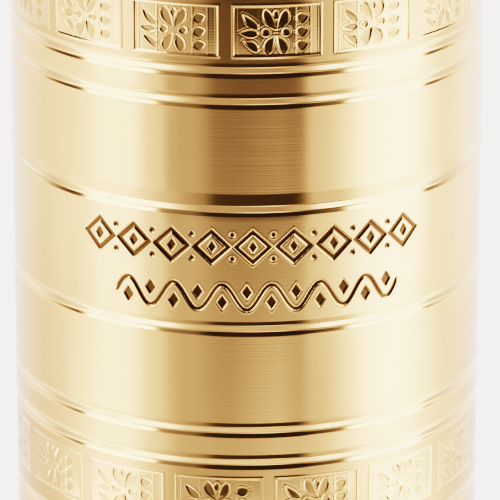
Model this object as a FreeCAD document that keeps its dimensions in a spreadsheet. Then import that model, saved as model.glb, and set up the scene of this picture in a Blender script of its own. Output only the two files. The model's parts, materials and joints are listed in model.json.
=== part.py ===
import FreeCAD, Part
import math
import os
import re

import Sketcher

# A hand-cranked brass pepper mill: a cup below, a hopper above with a conical burr in its lower end, a domed
# lid and a folding crank. Millimetres. The origin is the centre of the foot's underside, +Z is up the axis,
# and the crank points along +X.

DIMENSIONS = {
    # casing
    "body_radius": 25.0,
    "wall": 1.0,
    "seam_height": 86.5,
    "seam_gap": 0.2,
    "body_top": 163.0,
    "rim_depth": 3.4,
    "rim_bend": 1.8,
    # turned rings, as distances from one ring to the next
    "ornament_band": 13.03,
    "upper_satin_band": 11.36,
    "upper_ring_pair": 3.26,
    "lower_satin_band": 11.16,
    "lower_ring_pair": 3.54,
    "panel_band": 9.65,
    "outer_ring_pair": 3.4,
    "outer_satin_band": 13.0,
    "ring_width": 0.7,
    "ring_depth": 0.3,
    # foot
    "foot_height": 4.0,
    "foot_radius": 25.2,
    "foot_bend": 2.4,
    "floor_thickness": 2.0,
    "plug_height": 6.0,
    "plug_wall": 1.5,
    # sleeve that joins the halves
    "spigot_depth": 12.0,
    "spigot_clearance": 0.05,
    "sleeve_top": 100.0,
    # burrs
    "burr_bottom": 80.0,
    "burr_throat": 89.0,
    "burr_top": 94.0,
    "burr_throat_radius": 13.5,
    "burr_mouth_radius": 21.5,
    "burr_exit_radius": 16.8,
    "burr_gap": 0.45,
    "cone_lift": 1.0,
    "cone_waist_gap": 2.0,
    "cone_neck_radius": 5.5,
    "cone_shoulder": 96.0,
    "cone_hub_radius": 5.0,
    "cone_hub_top": 99.0,
    "outer_flute_count": 18,
    "outer_flute_radius": 1.2,
    "outer_flute_place": 14.2,
    "inner_flute_count": 12,
    "inner_flute_radius": 1.5,
    "inner_flute_skew": 14.0,
    # bottom bridge and adjusting screw
    "strip_thickness": 2.0,
    "bridge_width": 8.0,
    "bridge_bottom": 72.0,
    "bridge_leg": 16.5,
    "bridge_foot_end": 22.5,
    "bridge_screw_place": 20.2,
    "bridge_screw_radius": 1.2,
    "bridge_screw_head": 2.1,
    "bridge_screw_length": 6.0,
    "adjuster_radius": 2.5,
    "adjuster_head_radius": 8.0,
    "adjuster_head_bottom": 61.0,
    "adjuster_head_height": 5.0,
    "adjuster_tip": 75.3,
    "knurl_count": 24,
    "knurl_radius": 0.7,
    "ball_radius": 1.6,
    "ball_clearance": 0.05,
    # drive
    "shaft_radius": 3.0,
    "shaft_bottom": 76.8,
    "square_start": 165.0,
    "square_side": 4.2,
    "shaft_top": 178.0,
    "running_clearance": 0.05,
    "pin_radius": 0.8,
    "clip_height": 119.0,
    "clip_thickness": 0.8,
    "clip_groove_radius": 2.5,
    "clip_radius": 5.0,
    "clip_mouth": 3.2,
    "washer_radius": 6.0,
    "washer_thickness": 0.8,
    "spring_radius": 4.4,
    "spring_wire_radius": 0.5,
    "spring_turns": 7,
    # spider
    "spider_bottom": 145.0,
    "spider_height": 4.0,
    "spider_ring_wall": 1.4,
    "spider_arm_width": 4.0,
    "spider_hub_radius": 6.5,
    "bush_radius": 4.5,
    "bush_flange": 1.0,
    # lid
    "lid_gap": 0.15,
    "lid_brim_radius": 26.0,
    "lid_brim_height": 1.8,
    "lid_spring_radius": 24.4,
    "lid_spring_height": 165.6,
    "dome_bend": 32.0,
    "boss_radius": 8.0,
    "boss_bottom": 174.0,
    "boss_top": 176.5,
    "collar_depth": 7.0,
    "collar_clearance": 0.1,
    "collar_wall": 1.0,
    "lid_bush_radius": 6.0,
    # crank
    "stem_radius": 4.5,
    "stem_bottom": 168.0,
    "socket_depth": 10.6,
    "hub_flange_radius": 7.0,
    "hub_flange_bottom": 177.7,
    "link_bottom": 179.2,
    "tenon_radius": 3.0,
    "tenon_top": 184.5,
    "cap_nut_radius": 5.5,
    "cap_nut_height": 3.4,
    "link_width": 8.0,
    "hub_clip_bottom": 171.2,
    "hub_clip_groove": 3.9,
    "hinge_place": 31.0,
    "knuckle_radius": 2.2,
    "knuckle_half_width": 2.0,
    "ear_gap": 0.15,
    "ear_thickness": 2.0,
    "hinge_pin_radius": 1.0,
    "hinge_pin_head": 1.9,
    "hinge_pin_head_height": 0.7,
    "arm_start": 33.6,
    "knob_place": 62.0,
    "spindle_radius": 1.5,
    "spindle_head_radius": 2.8,
    "spindle_head_height": 1.2,
    "spindle_washer_radius": 3.6,
    "spindle_washer_height": 0.6,
    "nut_radius": 3.2,
    "nut_height": 2.2,
    "knob_bottom": 182.0,
    "knob_foot_radius": 4.2,
    "knob_neck_height": 184.6,
    "knob_neck_radius": 3.6,
    "knob_belly_height": 191.5,
    "knob_belly_radius": 7.6,
    "knob_top": 197.5,
    "knob_crown_radius": 4.0,
}

doc = FreeCAD.newDocument("pepper_mill")
sheet = doc.addObject("Spreadsheet::Sheet", "dims")
for row, (alias, size) in enumerate(DIMENSIONS.items(), start=1):
    sheet.set(f"A{row}", alias.replace("_", " "))
    sheet.set(f"B{row}", str(size))
    sheet.setAlias(f"B{row}", alias)
doc.recompute()

nodes = {}


def bound(expression):
    """The expression with each dimension's name pointed at its cell."""
    return re.sub(
        r"[a-z_]\w*", lambda word: f"dims.{word[0]}" if word[0] in DIMENSIONS else word[0], str(expression)
    )


def number(expression):
    """What an expression in the dimensions' names comes to."""
    return float(sheet.evalExpression(bound(expression)))


def bind(thing, **sizes):
    for name, expression in sizes.items():
        thing.setExpression(name, bound(expression))


def put(thing, x="0", y="0", z="0"):
    for axis, expression in (("x", x), ("y", y), ("z", z)):
        thing.setExpression(f".Placement.Base.{axis}", bound(expression))
    return thing


def keep(label, thing):
    """Name a finished sub-part."""
    thing.Label = label
    nodes[label] = thing
    return thing


# ---- plain primitives -------------------------------------------------------------------------------------

def rod(name, radius, bottom, top, x="0", y="0"):
    """An upright cylinder from one height to another."""
    thing = doc.addObject("Part::Cylinder", name)
    bind(thing, Radius=radius, Height=f"({top}) - ({bottom})")
    return put(thing, x, y, bottom)


def cross_rod(name, radius, x, z, start, end):
    """A level cylinder along Y, from one y to another."""
    thing = doc.addObject("Part::Cylinder", name)
    thing.Placement.Rotation = FreeCAD.Rotation(FreeCAD.Vector(1, 0, 0), -90)
    bind(thing, Radius=radius, Height=f"({end}) - ({start})")
    return put(thing, x, start, z)


def block(name, x, y, z):
    """A box from a (low, high) pair for each direction."""
    thing = doc.addObject("Part::Box", name)
    spans = [f"({high}) - ({low})" for low, high in (x, y, z)]
    bind(thing, Length=spans[0], Width=spans[1], Height=spans[2])
    return put(thing, x[0], y[0], z[0])


def hexagon(name, radius, bottom, top, x="0"):
    thing = doc.addObject("Part::Prism", name)
    thing.Polygon = 6
    bind(thing, Circumradius=radius, Height=f"({top}) - ({bottom})")
    return put(thing, x, "0", bottom)


def join(name, pieces):
    thing = doc.addObject("Part::MultiFuse", name)
    thing.Shapes = pieces
    thing.Refine = True
    return thing


def cut(name, base, tools):
    thing = doc.addObject("Part::Cut", name)
    thing.Base = base
    thing.Tool = tools[0] if len(tools) == 1 else join(name + "_tools", tools)
    thing.Refine = True
    return thing


# ---- turned pieces ----------------------------------------------------------------------------------------

def origin_plane(body, role):
    return next(plane for plane in body.Origin.OriginFeatures if plane.Role == role)


def new_sketch(body, name, role):
    sketch = body.newObject("Sketcher::SketchObject", name)
    sketch.AttachmentSupport = [(origin_plane(body, role), "")]
    sketch.MapMode = "FlatFace"
    return sketch


def fix(sketch, kind, *place, size):
    """Add a dimension to a sketch and bind it."""
    index = sketch.addConstraint(Sketcher.Constraint(kind, *place, number(size)))
    sketch.setExpression(f"Constraints[{index}]", bound(size))


def arc_between(start, end, radius, side):
    """The short arc between two corners, with its centre to the left (side 1) or the right (side -1).

    A sketch keeps its arcs anticlockwise, so one with its centre to the right runs from end to start.
    """
    middle = (start + end) * 0.5
    chord = end - start
    across = FreeCAD.Vector(-chord.y, chord.x, 0).normalize() * side
    reach = math.sqrt(radius**2 - (chord.Length / 2) ** 2)
    crown = middle - across * (radius - reach)
    return Part.Arc(start, crown, end) if side > 0 else Part.Arc(end, crown, start)


def draw_outline(sketch, outline, arcs):
    """Draw a closed outline of (radius, height) corners and dimension every corner.

    arcs gives, for the edge that leaves a corner, its bend radius and the side its centre is on.
    """
    corners = [FreeCAD.Vector(number(radius), number(height), 0) for radius, height in outline]
    count = len(corners)
    first_point = []
    for index, start in enumerate(corners):
        end = corners[(index + 1) % count]
        if index in arcs:
            bend, side = arcs[index]
            curve = arc_between(start, end, number(bend), side)
        else:
            curve = Part.LineSegment(start, end)
        sketch.addGeometry(curve, False)
        runs_back = sketch.Geometry[index].StartPoint.distanceToPoint(start) > 1e-6
        first_point.append(2 if runs_back else 1)
    for index in range(count):
        after = (index + 1) % count
        last_point = 3 - first_point[index]
        sketch.addConstraint(
            Sketcher.Constraint("Coincident", index, last_point, after, first_point[after])
        )
        if index in arcs:
            fix(sketch, "Radius", index, size=arcs[index][0])
    for index, (radius, height) in enumerate(outline):
        corner = (-1, 1, index, first_point[index])
        fix(sketch, "DistanceX", *corner, size=radius)
        fix(sketch, "DistanceY", *corner, size=height)


def turned(label, outline, arcs=None):
    """A body turned about Z from a closed outline."""
    body = doc.addObject("PartDesign::Body", label)
    sketch = new_sketch(body, label + "_outline", "XZ_Plane")
    draw_outline(sketch, outline, arcs or {})
    spin = body.newObject("PartDesign::Revolution", label + "_turned")
    spin.Profile = sketch
    spin.ReferenceAxis = (sketch, ["V_Axis"])
    spin.Angle = 360
    doc.recompute()
    return body


def domed(label, outline, arcs):
    """The same for an outline whose arcs bend about points beyond the axis."""
    sketch = doc.addObject("Sketcher::SketchObject", label + "_outline")
    sketch.Placement.Rotation = FreeCAD.Rotation(FreeCAD.Vector(1, 0, 0), 90)
    draw_outline(sketch, outline, arcs)
    spin = doc.addObject("Part::Revolution", label + "_turned")
    spin.Source = sketch
    spin.Axis = (0, 0, 1)
    spin.Angle = 360
    spin.Solid = True
    return spin


def notch_all_round(body, count, radius, place):
    """Cut round-bottomed notches along Z, evenly round the axis."""
    before = body.Shape.Volume
    sketch = new_sketch(body, body.Name + "_notch", "XY_Plane")
    sketch.addGeometry(Part.Circle(FreeCAD.Vector(number(place), 0, 0), FreeCAD.Vector(0, 0, 1), number(radius)))
    fix(sketch, "Radius", 0, size=radius)
    fix(sketch, "DistanceX", -1, 1, 0, 3, size=place)
    sketch.addConstraint(Sketcher.Constraint("PointOnObject", 0, 3, -1))
    pocket = body.newObject("PartDesign::Pocket", body.Name + "_pocket")
    pocket.Profile = sketch
    pocket.Type = "ThroughAll"
    pocket.Midplane = True
    doc.recompute()
    pattern = body.newObject("PartDesign::PolarPattern", body.Name + "_notches")
    pattern.Originals = [pocket]
    pattern.Axis = (sketch, ["N_Axis"])
    pattern.Angle = 360
    bind(pattern, Occurrences=count)
    body.Tip = pattern
    doc.recompute()
    if body.Shape.Volume > before - 0.1:
        raise RuntimeError(body.Name + ": the notches cut nothing")


def ring_heights(start, steps):
    """Heights of the turned rings, each a step above or below the one before."""
    heights = []
    height = start
    for step in steps:
        height = f"{height} {step}"
        heights.append(height)
    return heights


def grooved_wall(heights):
    """Corners of an outer wall that dips at each ring, from the lowest ring up."""
    corners = []
    for height in heights:
        corners += [
            ("body_radius", f"{height} - ring_width / 2"),
            ("body_radius - ring_depth", height),
            ("body_radius", f"{height} + ring_width / 2"),
        ]
    return corners


# ---- casing -----------------------------------------------------------------------------------------------

def make_lower_tube():
    steps = ["- ornament_band", "- lower_satin_band", "- lower_ring_pair", "- panel_band", "- outer_ring_pair"]
    steps += ["- outer_satin_band", "- outer_ring_pair", "- panel_band", "- outer_ring_pair"]
    rings = ring_heights("seam_height", steps)[::-1]
    outline = [("body_radius - wall", "foot_height"), ("body_radius", "foot_height")]
    outline += grooved_wall(rings)
    outline += [("body_radius", "seam_height"), ("body_radius - wall", "seam_height")]
    keep("lower_tube", turned("lower_tube", outline))


def make_upper_tube():
    steps = ["+ upper_satin_band", "+ upper_ring_pair", "+ panel_band", "+ outer_ring_pair"]
    steps += ["+ outer_satin_band", "+ outer_ring_pair", "+ panel_band", "+ outer_ring_pair"]
    rings = ring_heights("seam_height", steps)
    bottom = "seam_height + seam_gap"
    outline = [("body_radius - wall", bottom), ("body_radius", bottom)]
    outline += grooved_wall(rings)
    rim = len(outline)
    outline += [("body_radius", "body_top - rim_depth"), ("body_radius", "body_top")]
    outline += [("body_radius - wall", "body_top")]
    keep("upper_tube", turned("upper_tube", outline, {rim: ("rim_bend", 1)}))


def make_base_cap():
    plug_top = "foot_height + plug_height"
    outline = [
        ("0", "0"),
        ("foot_radius", "0"),
        ("foot_radius", "foot_height"),
        ("body_radius - wall", "foot_height"),
        ("body_radius - wall", plug_top),
        ("body_radius - wall - plug_wall", plug_top),
        ("body_radius - wall - plug_wall", "floor_thickness"),
        ("0", "floor_thickness"),
    ]
    keep("base_cap", turned("base_cap", outline, {1: ("foot_bend", 1)}))


def make_spigot_sleeve():
    bottom = "seam_height - spigot_depth"
    step = "seam_height + seam_gap"
    outline = [
        ("body_radius - 2 * wall", bottom),
        ("body_radius - wall - spigot_clearance", bottom),
        ("body_radius - wall - spigot_clearance", step),
        ("body_radius - wall", step),
        ("body_radius - wall", "sleeve_top"),
        ("body_radius - 2 * wall", "sleeve_top"),
    ]
    keep("spigot_sleeve", turned("spigot_sleeve", outline))


# ---- burrs ------------------------------------------------------------------------------------------------

def make_outer_burr():
    outline = [
        ("burr_exit_radius", "burr_bottom"),
        ("body_radius - 2 * wall", "burr_bottom"),
        ("body_radius - 2 * wall", "burr_top"),
        ("burr_mouth_radius", "burr_top"),
        ("burr_throat_radius", "burr_throat"),
    ]
    ring = turned("burr_ring", outline)
    notch_all_round(ring, "outer_flute_count", "outer_flute_radius", "outer_flute_place")
    holes = [
        rod(
            f"burr_screw_hole_{side}",
            "bridge_screw_radius",
            "burr_bottom",
            "burr_bottom - strip_thickness + bridge_screw_length",
            x=f"{sign} bridge_screw_place",
        )
        for side, sign in (("left", "-1 *"), ("right", "1 *"))
    ]
    keep("outer_burr", cut("outer_burr", ring, holes))


def make_inner_burr():
    """The cone keeps the burr gap at its foot and opens to the waist gap at the throat."""
    slope = "(burr_exit_radius - burr_throat_radius) / (burr_throat - burr_bottom)"
    outline = [
        ("shaft_radius", "burr_bottom + cone_lift"),
        (f"burr_exit_radius - burr_gap - cone_lift * {slope}", "burr_bottom + cone_lift"),
        ("burr_throat_radius - cone_waist_gap", "burr_throat"),
        ("cone_neck_radius", "cone_shoulder"),
        ("cone_hub_radius", "cone_shoulder"),
        ("cone_hub_radius", "cone_hub_top"),
        ("shaft_radius", "cone_hub_top"),
    ]
    cone = turned("burr_cone", outline)
    flutes = [inner_flute(index) for index in range(int(number("inner_flute_count")))]
    pin_hole = cross_rod(
        "burr_pin_hole", "pin_radius", "0", "cone_hub_top - 1.5", "-cone_hub_radius - 1", "cone_hub_radius + 1"
    )
    keep("inner_burr", cut("inner_burr", cone, flutes + [pin_hole]))


def inner_flute(index):
    """A round cutter along the cone's flank: deep at the shoulder, run out near the foot."""
    low = FreeCAD.Vector(number("burr_exit_radius"), 0, number("burr_bottom + 2"))
    high = FreeCAD.Vector(number("cone_neck_radius + 0.8"), 0, number("cone_shoulder"))
    run = high - low
    start = low - run * 0.1
    skew = FreeCAD.Rotation(FreeCAD.Vector(1, 0, 0), number("inner_flute_skew"))
    lean = FreeCAD.Rotation(FreeCAD.Vector(0, 0, 1), run)
    middle = (low + high) * 0.5
    turn = FreeCAD.Rotation(FreeCAD.Vector(0, 0, 1), 360 * index / number("inner_flute_count"))
    placement = FreeCAD.Placement(FreeCAD.Vector(), turn)
    placement *= FreeCAD.Placement(middle, skew) * FreeCAD.Placement(start - middle, lean)
    cutter = doc.addObject("Part::Cylinder", f"inner_flute_{index + 1}")
    bind(cutter, Radius="inner_flute_radius")
    cutter.Height = run.Length * 1.2
    cutter.Placement = placement
    return cutter


# ---- bridge and grind adjustment --------------------------------------------------------------------------

def make_bottom_bridge():
    """A strip bent down from the burr's underside, with a threaded hole in its middle."""
    half = "bridge_width / 2"
    top = "bridge_bottom + strip_thickness"
    leg_end = "bridge_leg + strip_thickness"
    pieces = [
        block("bridge_strip", (f"-({leg_end})", leg_end), (f"-{half}", half), ("bridge_bottom", top)),
        rod("bridge_boss", "adjuster_radius * 2", "bridge_bottom - 1.5", top),
    ]
    holes = [rod("bridge_thread", "adjuster_radius + running_clearance", "bridge_bottom - 2", f"{top} + 1")]
    foot_bottom = "burr_bottom - strip_thickness"
    for side, sign in (("left", -1), ("right", 1)):
        leg = sorted((f"{sign} * bridge_leg", f"{sign} * ({leg_end})"), key=number)
        foot = sorted((f"{sign} * bridge_leg", f"{sign} * bridge_foot_end"), key=number)
        pieces.append(block(f"bridge_leg_{side}", leg, (f"-{half}", half), ("bridge_bottom", "burr_bottom")))
        pieces.append(block(f"bridge_foot_{side}", foot, (f"-{half}", half), (foot_bottom, "burr_bottom")))
        holes.append(
            rod(
                f"bridge_hole_{side}",
                "bridge_screw_radius",
                f"{foot_bottom} - 1",
                "burr_bottom + 1",
                x=f"{sign} * bridge_screw_place",
            )
        )
    keep("bottom_bridge", cut("bottom_bridge", join("bridge_blank", pieces), holes))


def make_bridge_screws():
    head_top = "burr_bottom - strip_thickness"
    screws = []
    for side, sign in (("left", -1), ("right", 1)):
        place = f"{sign} * bridge_screw_place"
        head = rod(f"screw_head_{side}", "bridge_screw_head", f"{head_top} - 1.6", head_top, x=place)
        shank = rod(
            f"screw_shank_{side}", "bridge_screw_radius", head_top, f"{head_top} + bridge_screw_length", x=place
        )
        slot = block(
            f"screw_slot_{side}",
            (f"{place} - bridge_screw_head", f"{place} + bridge_screw_head"),
            ("-0.3", "0.3"),
            (f"{head_top} - 1.6", f"{head_top} - 0.9"),
        )
        screws.append(cut(f"screw_{side}", join(f"screw_blank_{side}", [head, shank]), [slot]))
    group = doc.addObject("Part::Compound", "bridge_screws")
    group.Links = screws
    keep("bridge_screws", group)


def make_adjusting_screw():
    """A knurled thumb screw with a socket in its tip for the ball."""
    head_top = "adjuster_head_bottom + adjuster_head_height"
    socket_floor = "shaft_bottom - 2 * ball_radius - 2 * ball_clearance"
    outline = [
        ("0", "adjuster_head_bottom"),
        ("adjuster_head_radius", "adjuster_head_bottom"),
        ("adjuster_head_radius", head_top),
        ("adjuster_radius + 1", head_top),
        ("adjuster_radius", f"{head_top} + 1"),
        ("adjuster_radius", "adjuster_tip"),
        ("ball_radius + 0.1", "adjuster_tip"),
        ("ball_radius + 0.1", socket_floor),
        ("0", socket_floor),
    ]
    screw = turned("adjusting_screw", outline)
    notch_all_round(screw, "knurl_count", "knurl_radius", "adjuster_head_radius")
    keep("adjusting_screw", screw)


def make_thrust_ball():
    ball = doc.addObject("Part::Sphere", "thrust_ball")
    bind(ball, Radius="ball_radius")
    put(ball, z="shaft_bottom - ball_clearance - ball_radius")
    keep("thrust_ball", ball)


# ---- drive ------------------------------------------------------------------------------------------------

def make_drive_shaft():
    """Round for most of its length, with a clip groove, a pin hole and a square top."""
    groove_top = "clip_height + clip_thickness"
    outline = [
        ("0", "shaft_bottom"),
        ("shaft_radius", "shaft_bottom"),
        ("shaft_radius", "clip_height"),
        ("clip_groove_radius", "clip_height"),
        ("clip_groove_radius", groove_top),
        ("shaft_radius", groove_top),
        ("shaft_radius", "square_start"),
        ("0", "square_start"),
    ]
    half = "square_side / 2"
    square = block("shaft_square", (f"-{half}", half), (f"-{half}", half), ("square_start - 1", "shaft_top"))
    blank = join("shaft_blank", [turned("shaft_round", outline), square])
    hole = cross_rod(
        "shaft_pin_hole", "pin_radius", "0", "cone_hub_top - 1.5", "-shaft_radius - 1", "shaft_radius + 1"
    )
    keep("drive_shaft", cut("drive_shaft", blank, [hole]))


def make_burr_pin():
    keep(
        "burr_pin",
        cross_rod("burr_pin", "pin_radius", "0", "cone_hub_top - 1.5", "-cone_hub_radius", "cone_hub_radius"),
    )


def clip(label, bottom, groove, radius):
    """A snap ring with an open mouth on its +X side."""
    top = f"{bottom} + clip_thickness"
    disc = rod(label + "_disc", radius, bottom, top)
    hole = rod(label + "_hole", groove, f"{bottom} - 1", f"{top} + 1")
    mouth = block(
        label + "_mouth", ("0", f"{radius} + 1"), ("-clip_mouth / 2", "clip_mouth / 2"), (bottom, top)
    )
    keep(label, cut(label, disc, [hole, mouth]))


def washer(label, hole, radius, bottom, top, x="0"):
    disc = rod(label + "_disc", radius, bottom, top, x)
    bore = rod(label + "_bore", hole, f"{bottom} - 1", f"{top} + 1", x)
    keep(label, cut(label, disc, [bore]))


def make_tension_spring():
    """A coil from the washer up to the bush's flange."""
    bottom = "clip_height + clip_thickness + washer_thickness + spring_wire_radius + running_clearance"
    top = "spider_bottom - bush_flange - spring_wire_radius - running_clearance"
    body = doc.addObject("PartDesign::Body", "tension_spring")
    sketch = new_sketch(body, "spring_wire", "XZ_Plane")
    centre = FreeCAD.Vector(number("spring_radius"), number(bottom), 0)
    sketch.addGeometry(Part.Circle(centre, FreeCAD.Vector(0, 0, 1), number("spring_wire_radius")))
    fix(sketch, "Radius", 0, size="spring_wire_radius")
    fix(sketch, "DistanceX", -1, 1, 0, 3, size="spring_radius")
    fix(sketch, "DistanceY", -1, 1, 0, 3, size=bottom)
    coil = body.newObject("PartDesign::AdditiveHelix", "spring_coil")
    coil.Profile = sketch
    coil.ReferenceAxis = (sketch, ["V_Axis"])
    coil.Mode = "height-turns-angle"
    bind(coil, Height=f"({top}) - ({bottom})", Turns="spring_turns")
    keep("tension_spring", body)


# ---- spider -----------------------------------------------------------------------------------------------

def make_top_spider():
    """A ring in the hopper's mouth, with three arms to a hub round the shaft."""
    top = "spider_bottom + spider_height"
    inner = "body_radius - wall - spider_ring_wall"
    hoop = cut(
        "spider_hoop",
        rod("spider_disc", "body_radius - wall", "spider_bottom", top),
        [rod("spider_window", inner, "spider_bottom - 1", f"{top} + 1")],
    )
    arms = []
    for index in range(3):
        arm = doc.addObject("Part::Box", f"spider_arm_{index + 1}")
        bind(arm, Length=f"{inner} + 0.5", Width="spider_arm_width", Height="spider_height - 1")
        turn = FreeCAD.Rotation(FreeCAD.Vector(0, 0, 1), 90 + 120 * index)
        corner = FreeCAD.Vector(0, -number("spider_arm_width") / 2, number("spider_bottom"))
        arm.Placement = FreeCAD.Placement(FreeCAD.Vector(), turn) * FreeCAD.Placement(corner, FreeCAD.Rotation())
        arms.append(arm)
    hub = rod("spider_hub", "spider_hub_radius", "spider_bottom", top)
    bore = rod("spider_bore", "bush_radius", "spider_bottom - 1", f"{top} + 1")
    keep("top_spider", cut("top_spider", join("spider_blank", [hoop, hub] + arms), [bore]))


def make_spider_bush():
    bore = "shaft_radius + running_clearance"
    flange_bottom = "spider_bottom - bush_flange"
    top = "spider_bottom + spider_height + 0.5"
    outline = [
        (bore, flange_bottom),
        ("spider_hub_radius", flange_bottom),
        ("spider_hub_radius", "spider_bottom"),
        ("bush_radius", "spider_bottom"),
        ("bush_radius", top),
        (bore, top),
    ]
    keep("spider_bush", turned("spider_bush", outline))


# ---- lid --------------------------------------------------------------------------------------------------

def make_lid_dome():
    """A thin dome with a flat brim that rests on the rim and a boss for the bush."""
    brim = "body_top + lid_gap"
    collar = "body_radius - wall - collar_clearance"
    under = "lid_spring_height - wall"
    outline = [
        (collar, brim),
        ("lid_brim_radius", brim),
        ("lid_brim_radius", f"{brim} + lid_brim_height"),
        ("lid_spring_radius", "lid_spring_height"),
        ("boss_radius", "boss_bottom"),
        ("boss_radius", "boss_top"),
        ("lid_bush_radius", "boss_top"),
        ("lid_bush_radius", "boss_bottom - wall"),
        ("boss_radius", "boss_bottom - wall"),
        ("lid_spring_radius - 2 * wall", under),
        (collar, under),
    ]
    keep("lid_dome", domed("lid_dome", outline, {3: ("dome_bend", 1), 8: ("dome_bend", -1)}))


def make_lid_collar():
    outer = "body_radius - wall - collar_clearance"
    top = "lid_spring_height - wall"
    bottom = "body_top - collar_depth"
    outline = [
        (f"{outer} - collar_wall", bottom),
        (outer, bottom),
        (outer, top),
        (f"{outer} - collar_wall", top),
    ]
    keep("lid_collar", turned("lid_collar", outline))


def make_lid_bush():
    bore = "stem_radius + running_clearance"
    top = "hub_flange_bottom - 0.2"
    outline = [
        (bore, "boss_bottom - wall - 0.5"),
        ("lid_bush_radius", "boss_bottom - wall - 0.5"),
        ("lid_bush_radius", "boss_top"),
        ("hub_flange_radius", "boss_top"),
        ("hub_flange_radius", top),
        (bore, top),
    ]
    keep("lid_bush", turned("lid_bush", outline))


# ---- crank ------------------------------------------------------------------------------------------------

def make_crank_hub():
    """A stem with a square socket below, a flange that rides on the bush and a tenon for the link."""
    groove_top = "hub_clip_bottom + clip_thickness"
    outline = [
        ("0", "stem_bottom"),
        ("stem_radius", "stem_bottom"),
        ("stem_radius", "hub_clip_bottom"),
        ("hub_clip_groove", "hub_clip_bottom"),
        ("hub_clip_groove", groove_top),
        ("stem_radius", groove_top),
        ("stem_radius", "hub_flange_bottom"),
        ("hub_flange_radius", "hub_flange_bottom"),
        ("hub_flange_radius", "link_bottom"),
        ("tenon_radius", "link_bottom"),
        ("tenon_radius", "tenon_top"),
        ("0", "tenon_top"),
    ]
    half = "square_side / 2 + running_clearance"
    socket = block(
        "hub_socket",
        (f"-({half})", half),
        (f"-({half})", half),
        ("stem_bottom - 1", "stem_bottom + socket_depth"),
    )
    keep("crank_hub", cut("crank_hub", turned("hub_turned", outline), [socket]))


def make_cap_nut():
    """A hexagon with a domed top over a blind bore."""
    seat = "link_bottom + strip_thickness"
    flat_top = f"{seat} + cap_nut_height"
    across_flats = "cap_nut_radius * sqrt(3) / 2"
    outline = [
        ("0", f"{flat_top} - 0.5"),
        (across_flats, f"{flat_top} - 0.5"),
        (across_flats, flat_top),
        ("1", f"{flat_top} + 3"),
        ("0", f"{flat_top} + 3"),
    ]
    crown = domed("cap_nut_crown", outline, {2: ("cap_nut_radius", 1)})
    blank = join("cap_nut_blank", [hexagon("cap_nut_flats", "cap_nut_radius", seat, flat_top), crown])
    bore = rod("cap_nut_bore", "tenon_radius", f"{seat} - 1", "tenon_top + 0.3")
    keep("cap_nut", cut("cap_nut", blank, [bore]))


def make_crank_link():
    """A strip from the hub to the knuckle of the folding joint."""
    half = "link_width / 2"
    top = "link_bottom + strip_thickness"
    pivot = "link_bottom + strip_thickness / 2"
    strip_end = "hinge_place - knuckle_radius - 0.5"
    pieces = [
        rod("link_eye", "link_width * 0.7", "link_bottom", top),
        block("link_strip", ("0", strip_end), (f"-{half}", half), ("link_bottom", top)),
        block(
            "link_tongue",
            (f"{strip_end} - 1", "hinge_place"),
            ("-knuckle_half_width", "knuckle_half_width"),
            ("link_bottom", top),
        ),
        cross_rod(
            "link_knuckle", "knuckle_radius", "hinge_place", pivot, "-knuckle_half_width", "knuckle_half_width"
        ),
    ]
    holes = [
        rod("link_hole", "tenon_radius", "link_bottom - 1", f"{top} + 1"),
        cross_rod("link_pin_hole", "hinge_pin_radius", "hinge_place", pivot, f"-{half}", half),
    ]
    keep("crank_link", cut("crank_link", join("link_blank", pieces), holes))


def make_hinge_pin():
    """Pressed in the link's knuckle; the arm's ears turn on its ends, inside its two heads."""
    pivot = "link_bottom + strip_thickness / 2"
    reach = "knuckle_half_width + ear_gap + ear_thickness + 0.15"
    end = f"{reach} + hinge_pin_head_height"
    pieces = [
        cross_rod("pin_shank", "hinge_pin_radius", "hinge_place", pivot, f"-({reach})", reach),
        cross_rod("pin_head_front", "hinge_pin_head", "hinge_place", pivot, f"-({end})", f"-({reach})"),
        cross_rod("pin_head_back", "hinge_pin_head", "hinge_place", pivot, reach, end),
    ]
    keep("hinge_pin", join("hinge_pin", pieces))


def make_crank_arm():
    """A strip with two ears at the folding joint and a hole for the knob's spindle."""
    half = "link_width / 2"
    top = "link_bottom + strip_thickness"
    pivot = "link_bottom + strip_thickness / 2"
    near = "knuckle_half_width + ear_gap"
    far = f"{near} + ear_thickness"
    pieces = [
        block("arm_strip", ("arm_start", "knob_place"), (f"-{half}", half), ("link_bottom", top)),
        rod("arm_end", half, "link_bottom", top, x="knob_place"),
    ]
    holes = [rod("arm_spindle_hole", "spindle_radius", "link_bottom - 1", f"{top} + 1", x="knob_place")]
    for side, start, end in (("front", f"-({far})", f"-({near})"), ("back", near, far)):
        pieces.append(cross_rod(f"ear_{side}", "knuckle_radius", "hinge_place", pivot, start, end))
        pieces.append(
            block(f"ear_root_{side}", ("hinge_place", "arm_start + 1"), (start, end), ("link_bottom", top))
        )
        holes.append(
            cross_rod(
                f"ear_hole_{side}", "hinge_pin_radius + running_clearance", "hinge_place", pivot, start, end
            )
        )
    keep("crank_arm", cut("crank_arm", join("arm_blank", pieces), holes))


def make_knob_spindle():
    """A shoulder screw: its head sits in the knob's top and its foot in the nut under the arm."""
    head_bottom = "knob_top - spindle_head_height"
    foot = "link_bottom - nut_height"
    shank = rod("spindle_shank", "spindle_radius", foot, head_bottom, x="knob_place")
    head = rod("spindle_head", "spindle_head_radius", head_bottom, "knob_top + 0.3", x="knob_place")
    slot = block(
        "spindle_slot",
        ("knob_place - spindle_head_radius", "knob_place + spindle_head_radius"),
        ("-0.35", "0.35"),
        ("knob_top - 0.3", "knob_top + 0.3"),
    )
    keep("knob_spindle", cut("knob_spindle", join("spindle_blank", [shank, head]), [slot]))


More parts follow.
